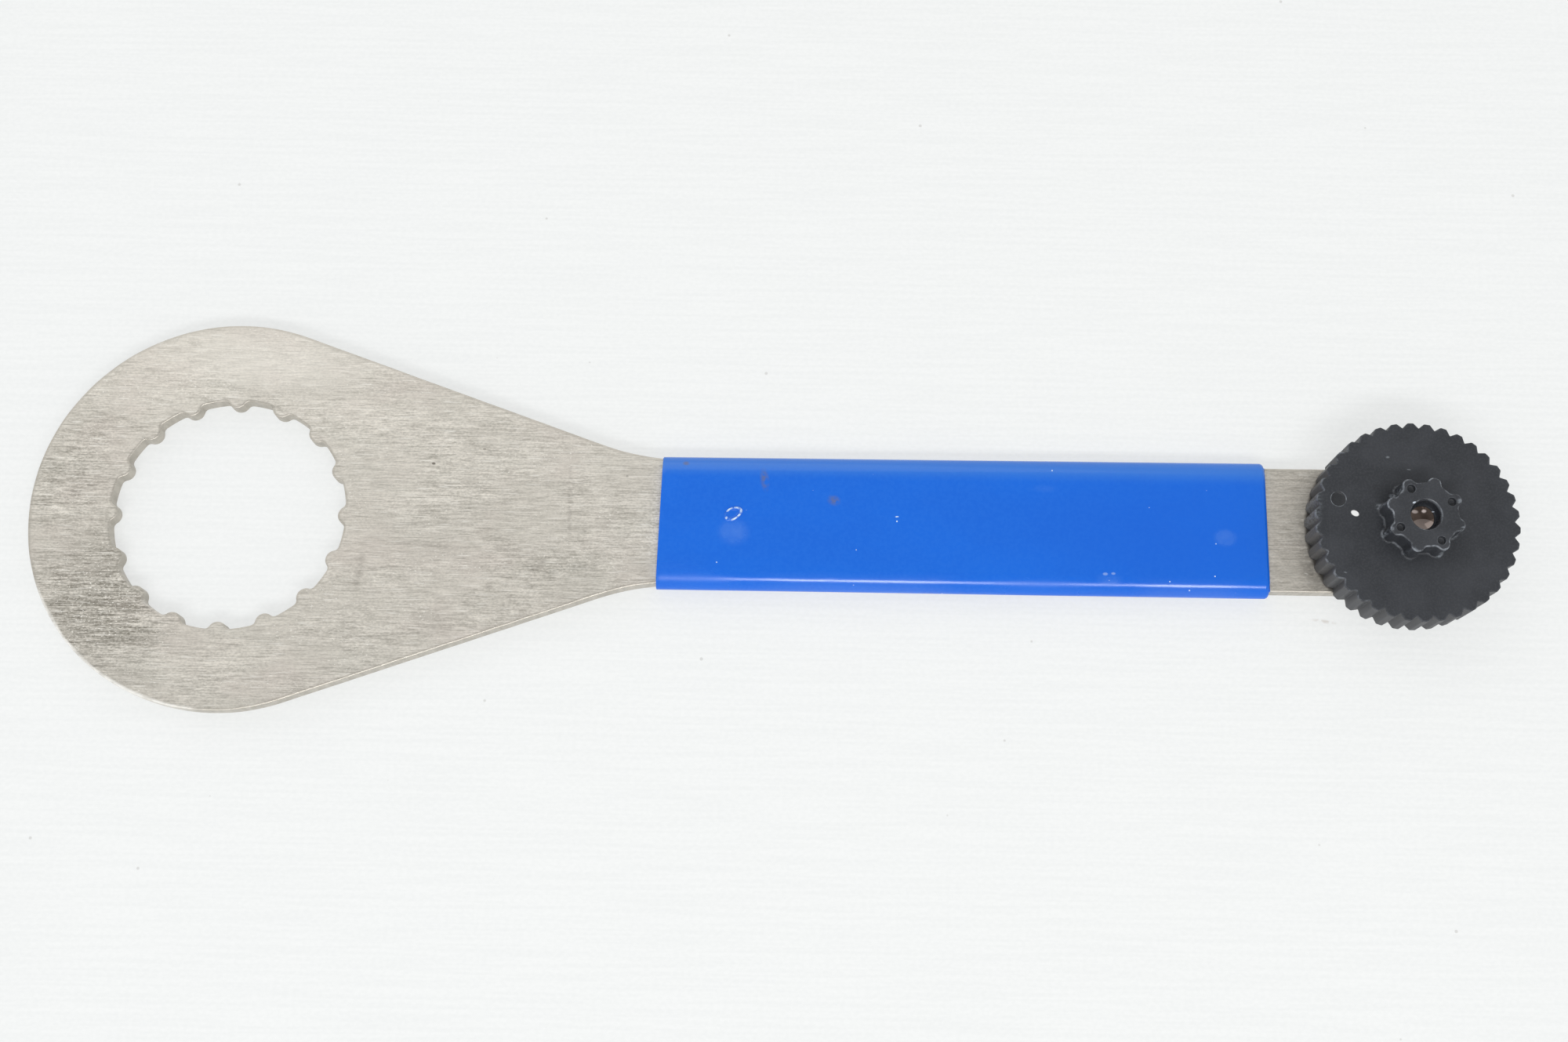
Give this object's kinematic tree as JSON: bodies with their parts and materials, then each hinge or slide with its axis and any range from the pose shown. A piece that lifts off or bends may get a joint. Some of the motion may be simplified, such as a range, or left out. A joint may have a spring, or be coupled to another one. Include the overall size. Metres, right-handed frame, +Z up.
{
  "type": "bottom bracket wrench",
  "caption": "Flat steel wrench with a lobed ring for external bearing cups, a vinyl sleeve on the handle and a loose splined cap knob held on its bare end.",
  "frame": {"origin": "centre of the lobed ring opening, on the underside of the steel plate", "axes": "+X along the handle from the ring towards the knob, +Y across the plate, +Z up, out of the plate's upper face"},
  "size_m": [0.2781, 0.075, 0.0172],
  "materials": {
    "plated_steel": "satin nickel plating over ground steel, with scuffs along the handle",
    "blue_vinyl": "glossy soft vinyl with small specks and dull spots",
    "black_nylon": "matte, greyed on its worn edges",
    "magnet_plating": "bright nickel"
  },
  "bodies": {
    "root": {"wrench_plate": "plated_steel", "grip_sleeve": "blue_vinyl", "cap_tool_knob": "black_nylon", "knob_magnet": "magnet_plating"}
  },
  "joints": []
}
